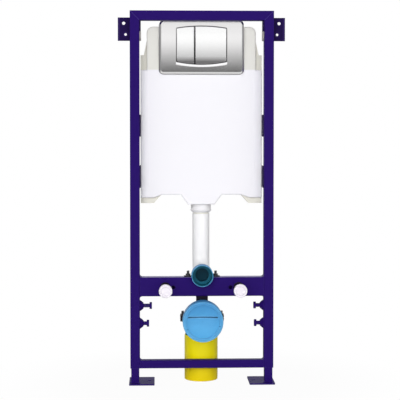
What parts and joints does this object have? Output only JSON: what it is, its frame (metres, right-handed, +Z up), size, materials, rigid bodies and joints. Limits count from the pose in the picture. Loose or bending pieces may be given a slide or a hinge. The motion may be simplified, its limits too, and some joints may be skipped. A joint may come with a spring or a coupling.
{
  "type": "wall hung toilet frame",
  "caption": "Steel installation frame for a wall hung toilet, with a slim cistern, dual flush plate, flush pipe, drain bend, wall brackets and telescopic legs.",
  "frame": {"origin": "on the floor, midway between the posts and at the middle of their depth", "axes": "+Z up, +Y towards the wall, +X to the right as seen from the front"},
  "size_m": [0.526, 0.236, 1.17],
  "materials": {
    "frame_paint": "satin powder coat, indigo",
    "bracket_paint": "satin powder coat, dark indigo",
    "zinc": "zinc plated",
    "bolt_black": "black oxide steel",
    "clamp_black": "black coated steel",
    "tank_cream": "moulded, off-white",
    "cover_white": "moulded, white",
    "satin_chrome": "satin chrome plated plastic",
    "pipe_white": "moulded, white",
    "plug_blue": "moulded, light blue",
    "cap_yellow": "moulded, yellow",
    "drain_black": "extruded polyethylene, black",
    "cap_white": "moulded, white"
  },
  "bodies": {
    "frame": {"bottom_rail": "frame_paint", "bowl_rail": "frame_paint", "cistern_front": "cover_white", "cistern_tank": "tank_cream", "drain_bend": "drain_black", "drain_cap": "cap_yellow", "drain_clamp_bolts": "bolt_black", "drain_clamp_lower": "clamp_black", "drain_clamp_upper": "clamp_black", "drain_hanger": "clamp_black", "drain_plug": "plug_blue", "flush_clamp": "clamp_black", "flush_clamp_bolts": "bolt_black", "flush_coupling": "pipe_white", "flush_pipe": "pipe_white", "flush_plate": "satin_chrome", "flush_plug": "plug_blue", "left_bowl_stud": "zinc", "left_bracket_clip": "zinc", "left_cistern_pads": "bracket_paint", "left_lock_bosses": "frame_paint", "left_lock_screws": "frame_paint", "left_post": "frame_paint", "left_stud_cap": "cap_white", "left_stud_sleeve": "clamp_black", "left_wall_bracket": "bracket_paint", "right_bowl_stud": "zinc", "right_bracket_clip": "zinc", "right_cistern_pads": "bracket_paint", "right_lock_bosses": "frame_paint", "right_lock_screws": "frame_paint", "right_post": "frame_paint", "right_stud_cap": "cap_white", "right_stud_sleeve": "clamp_black", "right_wall_bracket": "bracket_paint", "top_rail": "frame_paint"},
    "left_foot": {"left_leg": "frame_paint", "left_foot_plate": "frame_paint"},
    "right_foot": {"right_leg": "frame_paint", "right_foot_plate": "frame_paint"},
    "small_button": {"small_flush_button": "satin_chrome"},
    "large_button": {"large_flush_button": "satin_chrome"}
  },
  "joints": [
    {"name": "left_leg_slide", "type": "slide", "parent": "frame", "child": "left_foot", "axis": [0, 0, -1], "range_m": [-0.041, 0.15]},
    {"name": "right_leg_slide", "type": "slide", "parent": "frame", "child": "right_foot", "axis": [0, 0, -1], "range_m": [-0.041, 0.15]},
    {"name": "small_button_press", "type": "slide", "parent": "frame", "child": "small_button", "axis": [0, 1, 0], "range_m": [0, 0.0045], "stiffness_N_per_m": 500, "springref_m": -0.002},
    {"name": "large_button_press", "type": "slide", "parent": "frame", "child": "large_button", "axis": [0, 1, 0], "range_m": [0, 0.0045], "stiffness_N_per_m": 500, "springref_m": -0.002}
  ]
}
